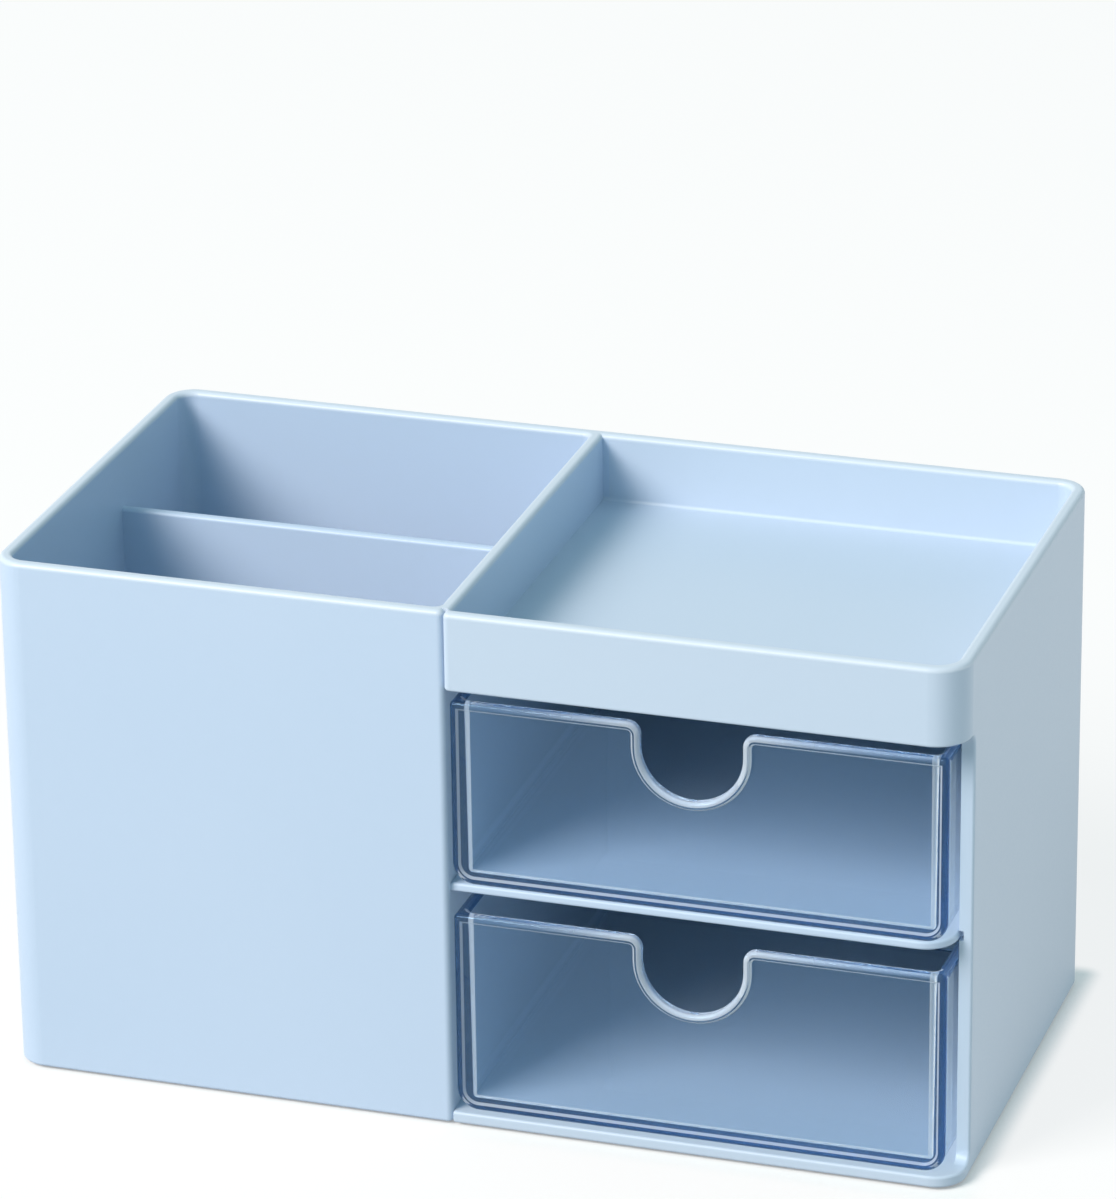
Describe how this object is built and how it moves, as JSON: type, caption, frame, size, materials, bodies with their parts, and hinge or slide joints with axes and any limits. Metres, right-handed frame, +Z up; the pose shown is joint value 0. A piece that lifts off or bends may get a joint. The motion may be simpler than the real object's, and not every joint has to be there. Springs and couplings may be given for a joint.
{
  "type": "desktop drawer organizer",
  "caption": "Desk organizer with an open cup module split by a low divider, a shallow tray beside it, and clear pull-out drawers with finger notches under the tray.",
  "frame": {"origin": "middle of the footprint, on the surface that the feet stand on", "axes": "+X to the right along the front, -Y out of the front towards the user, +Z up"},
  "size_m": [0.175, 0.0908, 0.098],
  "materials": {
    "blue_plastic": "satin injection moulded",
    "clear_plastic": "clear polished",
    "foot_rubber": "matt"
  },
  "bodies": {
    "housing": {"cup_housing": "blue_plastic", "drawer_cabinet": "blue_plastic", "mid_shelf": "blue_plastic", "foot_front_left": "foot_rubber", "foot_rear_left": "foot_rubber", "foot_front_right": "foot_rubber", "foot_rear_right": "foot_rubber"},
    "upper_drawer": {"upper_drawer": "clear_plastic"},
    "lower_drawer": {"lower_drawer": "clear_plastic"}
  },
  "joints": [
    {"name": "upper_drawer_slide", "type": "slide", "parent": "housing", "child": "upper_drawer", "axis": [0, -1, 0], "range_m": [0, 0.07]},
    {"name": "lower_drawer_slide", "type": "slide", "parent": "housing", "child": "lower_drawer", "axis": [0, -1, 0], "range_m": [0, 0.07]}
  ]
}
